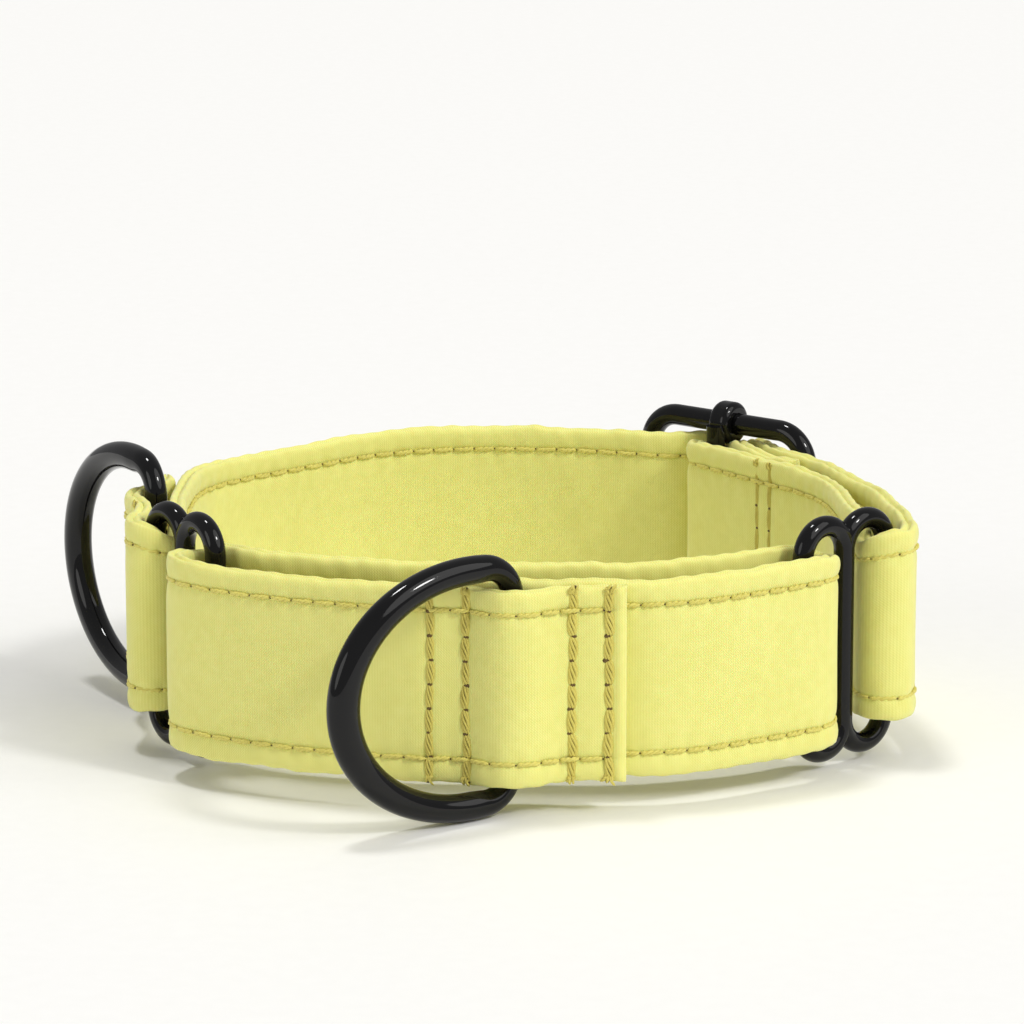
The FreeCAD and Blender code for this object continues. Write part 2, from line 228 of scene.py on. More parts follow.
# Thread tails at the ends of an upright row.
TAIL_PLIES = 4
TAIL_STEPS = 7
TAIL_SIDES = 5
TAIL_IN = 0.9
TAIL_LENGTH = (1.0, 0.3)
TAIL_SPREAD = 0.26
TAIL_BEND = 0.7
TAIL_LIFT = (0.22, 0.2)

METAL_NODES = ("left_connector", "right_connector", "slider_frame", "slider_bar")

# D-ring wire: its line's sizes, its thicknesses, and the samples along and round it.
RING_HALF_HEIGHT = 15.0
RING_CORNER = 4.2
RING_STRAIGHT_END = 6.5
RING_BOW = 18.5
RING_WIRE = 3.6
RING_BAR = 2.9
RING_APEX_WIRE = 4.4
BAR_SAMPLES = 10
CORNER_SAMPLES = 14
LEG_SAMPLES = 6
BOW_SAMPLES = 40
TAPER_START = 4
WIRE_SIDES = 28
# D-rings: (bar in plan, turn, height of the middle).
RINGS = {"front_ring": (FRONT_RING_BAR, 215.0, FRONT_RING_Z),
         "side_ring": ((-46.7, 24.5), 119.0, 18.0)}

# Colours: (light, dark) of the soft materials, (low, high) of the metal and the floor.
FABRIC_COLOURS = ((0.91, 0.895, 0.32), (0.60, 0.57, 0.075))
WEBBING_COLOURS = ((0.80, 0.78, 0.45), (0.55, 0.52, 0.22))
EDGE_COLOURS = ((0.88, 0.80, 0.21), (0.56, 0.48, 0.075))
ROW_COLOURS = ((0.82, 0.73, 0.17), (0.46, 0.37, 0.045))
# Needle holes: dark brown painted shade, standing in for the shade inside the holes.
HOLE_SHADE_COLOURS = ((0.17, 0.10, 0.012), (0.06, 0.032, 0.004))
METAL_COLOURS = ((0.002, 0.002, 0.0022), (0.005, 0.005, 0.0055))
FLOOR_COLOURS = ((0.91, 0.905, 0.885), (0.94, 0.935, 0.92))

# Weave: the pitches of the threads, and the shares of its parts.
FABRIC_PITCH = 0.17
WEBBING_PITCH = 0.4
RIB_SHARE = 0.5
WEAVE_BASE = 0.36
CROSSING_SHARE = 0.36
RIB_DEPTH = 0.36
FUZZ_SHARE = 0.25
THREAD_SHEEN = 0.15

# Noise in the materials: (scale, detail).
WARP_DRIFT = (900.0, 2.0)
FABRIC_FUZZ = (5200.0, 2.0)
FABRIC_BROAD = (90.0, 3.0)
FABRIC_SLUB = (700.0, 2.0)
THREAD_FIBRE = (6500.0, 2.0)
THREAD_TONE = (600.0, 2.0)
METAL_BROAD = (160.0, 2.0)
METAL_FINE = (2600.0, 3.0)
FLOOR_GRAIN = (400.0, 3.0)
# Shares of each noise in its material's colour, and of the drift in the weave's pitch.
WEAVE_TONE = 0.6
SLUB_TONE = 0.3
BROAD_TONE = 0.16
FIBRE_SHARE = 0.6
TONE_SHARE = 0.4
DRIFT_SHARE = 0.05
# Bumps: (strength, distance in metres). Roughness: (least, share of a noise).
FABRIC_BUMP = (0.35, 0.00009)
THREAD_BUMP = (0.5, 0.00008)
METAL_BUMP = (0.12, 0.0002)
FABRIC_ROUGHNESS = (0.78, 0.12)
THREAD_ROUGHNESS = (0.45, 0.2)
METAL_ROUGHNESS = (0.04, 0.05)

# Lights: (name, way to the light, strength, angle, colour).
SUNS = (
    ("key_soft", (0.666, -0.383, 0.643), 1.0, 50.0, (1.0, 0.99, 0.97)),
    ("key_crisp", (0.60, -0.45, 0.66), 0.95, 9.0, (1.0, 0.99, 0.97)),
    ("top", (-0.15, 0.1, 0.98), 0.85, 9.0, (1.0, 1.0, 1.0)),
    ("left_fill", (-0.75, -0.55, 0.35), 0.40, 30.0, (1.0, 0.99, 0.96)),
)
WORLD_STRENGTH = 0.39
# Floor, in metres: half its width, and its height, just clear of the object.
FLOOR_REACH = 6.0
FLOOR_Z = -0.0001

# Camera: fitted to the photograph's view.
LENS_PIXELS = 5587
IMAGE_PIXELS = 1024
SENSOR_WIDTH = 36.0
CAMERA_DISTANCE = 690.8
CAMERA_HEIGHT = 191.7
CAMERA_PITCH = 12.97

joints = {joint["name"]: joint for joint in frame["joints"]}
ring_at = np.array(joints["front_ring_swing"]["pos_m"]) / MM
SHIFT = ring_at[:2] - FRONT_RING_BAR
LIFT = ring_at[2] - FRONT_RING_Z
NOISE = np.random.default_rng(NOISE_SEED).uniform(-1, 1, (NOISE_ROWS, NOISE_LENGTH))


def ray(turn):
    """Unit vector in plan, at a turn in degrees."""
    return np.array([math.cos(math.radians(turn)), math.sin(math.radians(turn))])


def bell(gap, width):
    """1 where there is no gap, falling smoothly away over about the width."""
    return np.exp(-(gap / width) ** 2)


def slider_point(along, out):
    """Plan point at a distance along the slider and out from it."""
    return SLIDER_CENTRE + ray(SLIDER_TURN) * along + ray(SLIDER_TURN + 90) * out


def neck_route():
    """The neck strap's plan points, from its left end, through the slider and back."""
    points = list(NECK_LEFT) + [slider_point(u, n) for u, n in NECK_THROUGH] + list(NECK_RIGHT)
    points += [slider_point(u, n) for u, n in NECK_RETURN]
    for turn in SLIDER_FOLD_TURNS:
        spoke = ray(turn) * SLIDER_FOLD
        points.append(slider_point(spoke[0], spoke[1] - SLIDER_BAR_IN))
    return points + [slider_point(u, n) for u, n in NECK_END]


def spline(points):
    """Natural cubic spline through plan points, evaluated densely."""
    pts = np.array(points, float)
    knots = np.concatenate([[0], np.cumsum(np.hypot(*np.diff(pts, axis=0).T))])
    gaps = np.diff(knots)
    count = len(pts)
    system = np.eye(count)
    right = np.zeros((count, 2))
    slopes = np.diff(pts, axis=0) / gaps[:, None]
    for k in range(1, count - 1):
        system[k, k - 1:k + 2] = gaps[k - 1], 2 * (gaps[k - 1] + gaps[k]), gaps[k]
        right[k] = 6 * (slopes[k] - slopes[k - 1])
    second = np.linalg.solve(system, right)
    at = np.linspace(0, knots[-1], SPLINE_SAMPLES)
    k = np.clip(np.searchsorted(knots, at, "right") - 1, 0, count - 2)
    low = (at - knots[k])[:, None]
    high = (knots[k + 1] - at)[:, None]
    gap = gaps[k][:, None]
    curve = (second[k] * high ** 3 + second[k + 1] * low ** 3) / (6 * gap)
    curve = curve + (pts[k] / gap - second[k] * gap / 6) * high
    return curve + (pts[k + 1] / gap - second[k + 1] * gap / 6) * low


class Route:
    """A strap's line in plan, by distance along it."""

    def __init__(self, points):
        self.dense = spline(points) + SHIFT
        steps = np.hypot(*np.diff(self.dense, axis=0).T)
        self.far = np.concatenate([[0], np.cumsum(steps)])
        self.length = self.far[-1]

    def at(self, places):
        """Plan points at distances along the route."""
        return np.stack([np.interp(places, self.far, self.dense[:, axis]) for axis in (0, 1)], -1)

    def left(self, places):
        """Unit vector to the left of travel."""
        ahead = self.at(np.minimum(places + TANGENT_REACH, self.length))
        along = ahead - self.at(np.maximum(places - TANGENT_REACH, 0))
        along /= np.linalg.norm(along, axis=-1, keepdims=True)
        return np.stack([-along[..., 1], along[..., 0]], -1)

    def nearest(self, point, after=0.0):
        """Distance along the route, beyond after, that is nearest to a plan point."""
        gaps = np.hypot(*(self.dense - SHIFT - np.array(point)).T)
        gaps[self.far < after] = np.inf
        return self.far[np.argmin(gaps)]

    def first_below(self, axis, value):
        """First distance along the route at which a plan coordinate falls below a value."""
        line = self.dense[:, axis] - SHIFT[axis]
        return self.far[np.argmax(line < value)]


def ripple(places, wavelength, row):
    """Smooth seeded noise along a strap."""
    spot = places / wavelength + row * ROW_PHASE
    cell = np.floor(spot).astype(int)
    part = spot - cell
    part = part * part * (3 - 2 * part)
    line = NOISE[row]
    return line[cell % NOISE_LENGTH] * (1 - part) + line[(cell + 1) % NOISE_LENGTH] * part


def mesh_object(name, verts, faces, uvs=None, face_material=None):
    """A smooth mesh in the scene, from vertices in millimetres."""
    mesh = bpy.data.meshes.new(name)
    mesh.from_pydata([tuple(v) for v in np.asarray(verts) * MM], [], faces)
    if uvs is not None:
        layer = mesh.uv_layers.new(name="UVMap")
        index = np.zeros(len(mesh.loops), int)
        mesh.loops.foreach_get("vertex_index", index)
        layer.data.foreach_set("uv", np.asarray(uvs)[index].ravel())
    mesh.polygons.foreach_set("use_smooth", [True] * len(mesh.polygons))
    if face_material is not None:
        mesh.polygons.foreach_set("material_index", face_material)
    mesh.validate()
    mesh.update()
    piece = bpy.data.objects.new(name, mesh)
    bpy.context.scene.collection.objects.link(piece)
    return piece


def cover_section():
    """Closed outline of a cover, as (offset, height above the lower edge)."""
    middle = STRAP_WIDTH / 2
    plain = np.arange(LIP[-1][1] + FACE_STEP, middle, FACE_STEP)
    low = list(LIP) + [(FACE_OFFSET, inset) for inset in plain]
    high = [(offset, STRAP_WIDTH - inset) for offset, inset in low[::-1]]
    right = low + high
    left = [(-offset, height) for offset, height in right[::-1]][1:-1]
    return np.array(right + left)


def webbing_section(low, high):
    """Closed outline of flat webbing: thin, with rounded edges."""
    out, into = WEB_HALF * WEB_CORNER_OUT, WEB_HALF * WEB_CORNER_IN
    heights = np.linspace(low + WEB_HALF, high - WEB_HALF, WEB_ROWS)
    right = [(0, low), (out, low + into)] + [(WEB_HALF, height) for height in heights]
    right += [(out, high - into), (0, high)]
    left = [(-offset, height) for offset, height in right[::-1]][1:-1]
    return np.array(right + left)


def stations(start, end):
    """Distances along a strap, closer together at its two folded or cut ends."""
    near = np.array(END_STATIONS)
    middle = np.arange(start + END_REACH, end - END_REACH, STATION_STEP)
    return np.concatenate([start + near, middle, (end - near)[::-1]])


def lofted(name, route, bottom, places, outline, shape):
    """A closed tube: the outline carried along a route, moved by shape(run, offset, height)."""
    count = len(outline)
    run = np.repeat(places[:, None], count, 1)
    offset = np.repeat(outline[None, :, 0], len(places), 0)
    flat_height = np.repeat(outline[None, :, 1], len(places), 0)
    side = np.sign(offset)
    offset, height = shape(run, offset, flat_height)
    from_end = np.minimum(run - places[0], places[-1] - run)
    rounding = 1 - (1 - np.clip(from_end / END_ROUNDING, 0, 1)) ** 2
    offset = offset * np.sqrt(np.clip(rounding, END_THINNEST, 1))
    spots = route.at(places)[:, None, :] + route.left(places)[:, None, :] * offset[..., None]
    verts = np.concatenate([spots, (height + bottom + LIFT)[..., None]], -1).reshape(-1, 3)
    faces = []
    for row in range(0, (len(places) - 1) * count, count):
        for j in range(count):
            after = (j + 1) % count
            faces.append((row + j, row + after, row + count + after, row + count + j))
    faces.append(tuple(range(count))[::-1])
    last = (len(places) - 1) * count
    faces.append(tuple(range(last, last + count)))
    upward = flat_height + (side > 0) * FACE_UV_SHIFT
    uvs = np.stack([run / UV_UNIT, upward / UV_UNIT], -1).reshape(-1, 2)
    return mesh_object(name, verts, faces, uvs)


def slack_wave(run, height, pucker):
    """Soft puckers across a strap's faces, none near its stitched edges."""
    from_edge = np.minimum(height, STRAP_WIDTH - height)
    inside = np.clip(from_edge - EDGE_STITCH_IN, 0, PUCKER_REACH)
    wave = sum(size * ripple(run + lean * height, wavelength, row)
               for size, lean, wavelength, row in PUCKERS)
    return np.sin(np.pi * inside / (2 * PUCKER_REACH)) * pucker(run) * wave


def tucked(run, height, tucks):
    """Heights after the strap's edges dip: tucks are (place, drop, rise, half width)."""
    for spot, top_drop, low_rise, wide in tucks:
        near = bell(run - spot, wide)
        high = height / STRAP_WIDTH
        dip = np.where(high > 0.5, top_drop * high ** 2, -low_rise * (1 - high) ** 2)
        height = height - near * dip
    return height


def cover(name, route, bottom, tucks, pucker, rows):
    """A fabric tube with stitched lips, pinched at its stitches and puckered along its faces."""

    def shape(run, offset, height):
        edge = np.minimum(height, STRAP_WIDTH - height)
        side = np.sign(offset)
        upper = height > STRAP_WIDTH / 2
        outward = np.where(upper, 1, -1)
        clear = edge > CUT_EDGE
        lip = np.clip(1 - edge / EDGE_STITCH_IN, 0, 1)
        slack = slack_wave(run, height, pucker)
        # Holes pinch the cover, and the lip swells a little between them.
        beat = np.cos(2 * np.pi * run / EDGE_PITCH)
        at_seam = bell(edge - EDGE_STITCH_IN, SEAM_WIDTH)
        offset = offset - side * at_seam * np.clip(beat, 0, 1) ** 3 * SEAM_PINCH
        beside = bell(edge - EDGE_STITCH_IN, BESIDE_SEAM_WIDTH) - at_seam
        offset = offset - side * np.clip(beside, 0, 1) * beat * BESIDE_SEAM_SWELL
        height = height + outward * lip * beat * LIP_BEAT
        for row, (wave, size) in enumerate(CRINKLES):
            crinkle = np.where(upper, ripple(run, wave, UPPER_LIP_ROW + row),
                               ripple(run, wave, LOWER_LIP_ROW + row))
            height = height + outward * lip * crinkle * size
            swell = np.where(side > 0, ripple(run, wave, LEFT_SWELL_ROW + row),
                             ripple(run, wave, RIGHT_SWELL_ROW + row))
            offset = offset + side * np.clip(lip * 2, 0, 1) * clear * swell * size * SWELL_SHARE
        inner = np.clip((edge - EDGE_STITCH_IN) / FACE_FADE, 0, 1)
        fine = ripple(run + FACE_RIPPLE_LEAN * height, FACE_RIPPLE_WAVE, FACE_ROW)
        offset = offset + slack + side * inner * FACE_RIPPLE * fine
        from_end = np.minimum(run, route.length - run)
        hem = bell(from_end - HEM_FOLD, HEM_FOLD_WIDTH) - bell(from_end - HEM_SEAM, HEM_SEAM_WIDTH)
        offset = offset + side * HEM_SIZE * hem * clear
        for place in rows:
            offset = offset - side * ROW_PINCH * bell(run - place, ROW_PINCH_WIDTH) * clear
        return offset, tucked(run, height, tucks)

    return lofted(name, route, bottom, stations(0, route.length), cover_section(), shape)


def webbing_strip(name, route, bottom, pucker):
    """The flat webbing inside a cover, which follows the cover's soft waves."""

    def shape(run, offset, height):
        return offset + slack_wave(run, height, pucker), height

    places = stations(END_COVER, route.length - END_COVER)[::2]
    return lofted(name, route, bottom, places, webbing_section(*WEB_LIMITS), shape)


def tube(points, radius, sides):
    """Vertices and faces of a round strand along points, tapering at its ends."""
    points = np.asarray(points, float)
    along = np.gradient(points, axis=0)
    along /= np.linalg.norm(along, axis=1, keepdims=True)
    first = np.cross(along, ASKEW)
    first /= np.linalg.norm(first, axis=1, keepdims=True)
    second = np.cross(along, first)
    size = np.full(len(points), radius)
    size[[0, -1]] *= STRAND_TIP
    turns = np.arange(sides) * 2 * np.pi / sides
    ring = first[:, None] * np.cos(turns)[None, :, None]
    ring = ring + second[:, None] * np.sin(turns)[None, :, None]
    verts = (points[:, None] + ring * size[:, None, None]).reshape(-1, 3)
    faces = []
    for row in range(0, (len(points) - 1) * sides, sides):
        for j in range(sides):
            after = (j + 1) % sides
            faces.append((row + j, row + after, row + sides + after, row + sides + j))
    faces.append(tuple(range(sides))[::-1])
    faces.append(tuple(range((len(points) - 1) * sides, len(points) * sides)))
    return verts, faces


class Bundle:
    """Collects strands and the needle holes' painted-shade domes into one mesh."""

    def __init__(self):
        self.verts = []
        self.faces = []
        self.slots = []
        self.total = 0

    def add(self, verts, faces, slot=0):
        self.verts.append(verts)
        self.faces += [tuple(index + self.total for index in face) for face in faces]
        self.slots += [slot] * len(faces)
        self.total += len(verts)

    def piece(self, name):
        return mesh_object(name, np.concatenate(self.verts), self.faces, None, self.slots)


def ring_line():
    """Closed line of a D-ring as rows of (depth, height, broad, thick), from mid bar upwards."""
    straight = RING_HALF_HEIGHT - RING_CORNER
    heights = np.linspace(0, straight, BAR_SAMPLES)[:-1]
    rows = [(0, height, RING_BAR, RING_BAR) for height in heights]
    taper = []
    for turn in np.linspace(0, math.pi / 2, CORNER_SAMPLES):
        height = straight + RING_CORNER * math.sin(turn)
        taper.append((RING_CORNER * (1 - math.cos(turn)), height))
    legs = np.linspace(RING_CORNER, RING_STRAIGHT_END, LEG_SAMPLES)[1:]
    taper += [(depth, RING_HALF_HEIGHT) for depth in legs]
    for step, (depth, height) in enumerate(taper):
        part = min(max((step - TAPER_START) / (len(taper) - 1 - TAPER_START), 0), 1)
        wire = RING_BAR + (RING_WIRE - RING_BAR) * part * part * (3 - 2 * part)
        rows.append((depth, height, wire, wire))
    for angle in np.linspace(math.pi / 2, 0, BOW_SAMPLES)[1:]:
        broad = RING_WIRE + (RING_APEX_WIRE - RING_WIRE) * math.cos(angle) ** 2
        depth = RING_STRAIGHT_END + RING_BOW * math.cos(angle)
        rows.append((depth, RING_HALF_HEIGHT * math.sin(angle), broad, RING_WIRE))
    upper = np.array(rows)
    lower = upper[1:-1][::-1] * np.array([1, -1, 1, 1])
    return np.concatenate([upper, lower])


def ring_piece(name, bar_at, turn, middle):
    """A D-ring's wire in one smooth sweep."""
    line = ring_line()
    spots = line[:, :2]
    along = np.roll(spots, -1, 0) - np.roll(spots, 1, 0)
    along /= np.linalg.norm(along, axis=1, keepdims=True)
    across = np.stack([along[:, 1], -along[:, 0]], -1)
    angles = np.arange(WIRE_SIDES) * 2 * np.pi / WIRE_SIDES
    reach = np.cos(angles)[None, :, None] * line[:, 2][:, None, None] / 2
    inside = spots[:, None] + across[:, None] * reach
    aside = np.sin(angles)[None, :] * line[:, 3][:, None] / 2
    out = ray(turn)
    sideways = np.array([-out[1], out[0]])
    plan = SHIFT + np.array(bar_at) + inside[..., :1] * out + aside[..., None] * sideways
    verts = np.concatenate([plan, inside[..., 1:] + middle + LIFT], -1).reshape(-1, 3)
    count = len(line)
    faces = []
    for k in range(count):
        row, after = k * WIRE_SIDES, (k + 1) % count * WIRE_SIDES
        for j in range(WIRE_SIDES):
            beside = (j + 1) % WIRE_SIDES
            faces.append((row + j, after + j, after + beside, row + beside))
    return mesh_object(name, verts, faces)


def twisted_stitch(bundle, start, end, out, thread, rise, wobble):
    """One stitch of plied thread on a face, between two holes."""
    plies, spread, depth, radius, turns = thread
    steps = np.linspace(0, 1, STITCH_STEPS)
    across = np.cross(end - start, out)
    across /= np.linalg.norm(across)
    arch = np.sin(np.pi * np.clip(steps, *STITCH_ARCH)) ** 0.5
    middle = start + (end - start) * steps[:, None] + out * (rise * arch - STITCH_SINK)[:, None]
    middle = middle + across * (wobble * arch)[:, None]
    open_out = PLIES_AT_HOLE + PLIES_OPEN * arch
    for ply in range(plies):
        angle = 2 * np.pi * (steps * turns + ply / plies)
        swing = across * (spread * np.cos(angle) * open_out)[:, None]
        swing = swing + out * (depth * np.sin(angle) * open_out)[:, None]
        bundle.add(*tube(middle + swing, radius, STITCH_SIDES))


def painted_hole_shade(bundle, centre, out, up, wide, tall):
    """Painted shade for needle holes: a dark, very low dome on the face, standing in for the shade
    inside the sunk holes.
    """
    rim_height, half_height, middle_height = HOLE_HEIGHTS
    across = np.cross(up, out)
    turns = np.arange(HOLE_SIDES) * 2 * np.pi / HOLE_SIDES
    rim = centre + (across * np.cos(turns)[:, None] * wide + up * np.sin(turns)[:, None] * tall)
    half = rim * 0.5 + centre * 0.5 + out * half_height
    verts = np.concatenate([rim + out * rim_height, half, [centre + out * middle_height]])
    faces = []
    for j in range(HOLE_SIDES):
        after = (j + 1) % HOLE_SIDES
        faces.append((j, after, HOLE_SIDES + after, HOLE_SIDES + j))
        faces.append((HOLE_SIDES + j, HOLE_SIDES + after, 2 * HOLE_SIDES))
    faces.append(tuple(range(HOLE_SIDES))[::-1])
    bundle.add(verts, faces, 1)


def edge_stitches(name, route, side, bottom, height, tucks):
    """A run of top-stitching along one edge and face."""
    bundle = Bundle()
    holes = np.arange(EDGE_PITCH, route.length - END_COVER, EDGE_PITCH)
    up = np.array([0, 0, 1.0])
    usual, change = EDGE_RISE
    for number, place in enumerate(holes[:-1]):
        spots = np.array([place + HOLE_GAP, place + EDGE_PITCH - HOLE_GAP, place])
        flat = route.at(spots) + route.left(spots) * EDGE_LIFT * side
        level = tucked(spots, np.full(3, height), tucks) + bottom + LIFT
        out = np.append(route.left(spots[:2].mean(keepdims=True))[0] * side, 0)
        sway = EDGE_SWAY * NOISE[EDGE_SWAY_ROW][number % NOISE_LENGTH]
        start = np.append(flat[0], level[0] + sway)
        end = np.append(flat[1], level[1] - sway)
        bulge = usual + change * NOISE[EDGE_BULGE_ROW][number % NOISE_LENGTH]
        twisted_stitch(bundle, start, end, out, EDGE_THREAD, bulge, EDGE_WOBBLE)
        # Dark dome of painted shade for the needle holes at this stitch.
        painted_hole_shade(bundle, np.append(flat[2], level[2]), out, up, *EDGE_HOLE)
    return bundle.piece(name)


def row_stitches(name, route, place, side, bottom, scale, seed):
    """A heavy upright row across the strap, with the thread's tails at both ends."""
    bundle = Bundle()
    bottom = bottom + LIFT
    noise = NOISE[seed]
    up = np.array([0, 0, 1.0])
    left = route.left(np.array([place]))[0]
    face = route.at(place) + left * ROW_LIFT * side
    out = np.append(left * side, 0)
    across = np.cross(up, out)
    plies, spread, depth, radius, turns = ROW_THREAD
    thread = (plies, spread * scale, depth * scale, radius * scale, turns)
    for number, height in enumerate(np.arange(ROW_START, STRAP_WIDTH, ROW_PITCH)):
        foot = np.append(face, bottom + height) + across * ROW_SWAY * noise[number]
        if height + ROW_PITCH < STRAP_WIDTH:
            head = np.append(face, bottom + height + ROW_PITCH)
            head = head + across * ROW_SWAY * noise[number + 1]
            rise = (ROW_RISE[0] + ROW_RISE[1] * noise[number + RISE_AT]) * scale
            wobble = ROW_WOBBLE * noise[number + WOBBLE_AT]
            twisted_stitch(bundle, foot - up * ROW_OVERLAP, head + up * ROW_OVERLAP, out, thread,
                           rise, wobble)
        size = scale * (ROW_HOLE[0] + ROW_HOLE[1] * noise[number + HOLE_SIZE_AT])
        aside = across * ROW_HOLE_ASIDE * scale * noise[number + HOLE_ASIDE_AT]
        centre = foot + aside + out * ROW_HOLE_LIFT * scale
        # Dark dome of painted shade for the needle holes of the row.
        painted_hole_shade(bundle, centre, out, up, size, size * ROW_HOLE_FLAT)
    steps = np.linspace(0, 1, TAIL_STEPS)
    for height, way in ((TAIL_IN, -1), (STRAP_WIDTH - TAIL_IN, 1)):
        for ply in range(TAIL_PLIES):
            bow = NOISE[seed + 1][ply * 3 + (way > 0)]
            aside = across * TAIL_SPREAD * scale * (ply - (TAIL_PLIES - 1) / 2)
            start = np.append(face, bottom + height) + aside
            rise = way * steps * (TAIL_LENGTH[0] + TAIL_LENGTH[1] * bow)
            tail = start + up * rise[:, None] + across * (bow * steps ** 2 * TAIL_BEND)[:, None]
            lift = TAIL_LIFT[0] + TAIL_LIFT[1] * np.sin(np.pi * steps)
            bundle.add(*tube(tail + out * lift[:, None], radius * scale, TAIL_SIDES))
    return bundle.piece(name)


class Surface:
    """A material on its Principled shader, with short calls for the nodes that feed it."""

    def __init__(self, name):
        self.material = bpy.data.materials.new(name)
        self.material.use_nodes = True
        self.nodes = self.material.node_tree.nodes
        self.links = self.material.node_tree.links
        self.shader = self.nodes["Principled BSDF"]
        self.place = self.nodes.new("ShaderNodeTexCoord").outputs["Object"]

    def feed(self, socket, output):
        self.links.new(output, self.shader.inputs[socket])

    def constant(self, socket, value):
        self.shader.inputs[socket].default_value = value

    def math(self, kind, *values):
        node = self.nodes.new("ShaderNodeMath")
        node.operation = kind
        for socket, value in zip(node.inputs, values):
            if isinstance(value, (int, float)):
                socket.default_value = value
            else:
                self.links.new(value, socket)
        return node.outputs[0]

    def times(self, first, second):
        return self.math("MULTIPLY", first, second)

    def plus(self, first, second):
        return self.math("ADD", first, second)

    def noise(self, scale, detail):
        """Noise on the object's own coordinates."""
        node = self.nodes.new("ShaderNodeTexNoise")
        node.inputs["Scale"].default_value = scale
        node.inputs["Detail"].default_value = detail
        self.links.new(self.place, node.inputs["Vector"])
        return node.outputs["Fac"]

    def roughness(self, noise, least, share):
        self.feed("Roughness", self.plus(self.times(noise, share), least))

    def colour(self, factor, low, high):
        """Base colour between two, by a factor that varies over the surface."""
        node = self.nodes.new("ShaderNodeMix")
        node.data_type = "RGBA"
        self.links.new(factor, node.inputs["Factor"])
        for name, value in (("A", low), ("B", high)):
            socket = [s for s in node.inputs if s.name == name and s.type == "RGBA"][0]
            socket.default_value = (*value, 1)
        self.feed("Base Color", [s for s in node.outputs if s.type == "RGBA"][0])

    def bump(self, height, strength, distance):
        node = self.nodes.new("ShaderNodeBump")
        node.inputs["Strength"].default_value = strength
        node.inputs["Distance"].default_value = distance
        self.links.new(height, node.inputs["Height"])
        self.feed("Normal", node.outputs["Normal"])


def fabric_material(name, light, dark, thread_pitch):
    """Plain weave on the strap's own lengthways and upright coordinates, in centimetres."""
    surface = Surface(name)
    times, plus = surface.times, surface.plus
    uv = surface.nodes.new("ShaderNodeUVMap")
    uv.uv_map = "UVMap"
    split = surface.nodes.new("ShaderNodeSeparateXYZ")
    surface.links.new(uv.outputs["UV"], split.inputs[0])
    bend = times(surface.noise(*WARP_DRIFT), thread_pitch * DRIFT_SHARE)
    waves = math.pi * UV_UNIT / thread_pitch
    warp = times(plus(split.outputs["X"], bend), waves)
    weft = times(split.outputs["Y"], waves)
    crossing = times(surface.math("SINE", warp), surface.math("SINE", weft))
    rib = surface.math("ABSOLUTE", surface.math("SINE", times(warp, RIB_SHARE)))
    weave = plus(times(crossing, CROSSING_SHARE), WEAVE_BASE)
    weave = plus(weave, times(rib, RIB_DEPTH))
    weave = plus(weave, times(surface.noise(*FABRIC_FUZZ), FUZZ_SHARE))
    broad = surface.noise(*FABRIC_BROAD)
    slub = surface.noise(*FABRIC_SLUB)
    shade = plus(times(weave, WEAVE_TONE), times(slub, SLUB_TONE))
    shade = plus(shade, times(broad, BROAD_TONE))
    surface.colour(surface.math("MINIMUM", shade, 1.0), dark, light)
    surface.bump(weave, *FABRIC_BUMP)
    surface.roughness(slub, *FABRIC_ROUGHNESS)
    surface.constant("Sheen Weight", 0.25)
    surface.constant("Sheen Roughness", 0.5)
    surface.constant("Specular IOR Level", 0.25)
    surface.constant("Subsurface Weight", 0.12)
    surface.constant("Subsurface Scale", 0.0012)
    return surface.material


def thread_material(name, light, dark, sheen):
    """Fibrous thread, uneven in tone."""
    surface = Surface(name)
    fibre = surface.noise(*THREAD_FIBRE)
    tone = surface.noise(*THREAD_TONE)
    both = surface.plus(surface.times(fibre, FIBRE_SHARE), surface.times(tone, TONE_SHARE))
    surface.colour(both, dark, light)
    surface.bump(fibre, *THREAD_BUMP)
    surface.roughness(tone, *THREAD_ROUGHNESS)
    surface.constant("Sheen Weight", sheen)
    return surface.material


def metal_material(name):
    """Glossy black enamel over cast wire, with a faint unevenness and hairline marks."""
    surface = Surface(name)
    broad = surface.noise(*METAL_BROAD)
    fine = surface.noise(*METAL_FINE)
    surface.colour(broad, *METAL_COLOURS)
    surface.roughness(fine, *METAL_ROUGHNESS)
    surface.bump(broad, *METAL_BUMP)
    surface.constant("Coat Weight", 0.1)
    surface.constant("Coat Roughness", 0.03)
    surface.constant("Specular IOR Level", 0.24)
    return surface.material


def floor_material():
    """Pale matt floor with a faint grain."""
    surface = Surface("pale_floor")
    surface.colour(surface.noise(*FLOOR_GRAIN), *FLOOR_COLOURS)
    surface.constant("Roughness", 0.6)
    surface.constant("Specular IOR Level", 0.2)
    return surface.material


def dress(piece, body, materials, slot, *nodes):
    """Give a piece its materials, its body and the CAD nodes that it replaces; slot is not used.
    """
    for material in materials:
        piece.data.materials.append(material)
    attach(piece, body)
    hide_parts(*nodes)


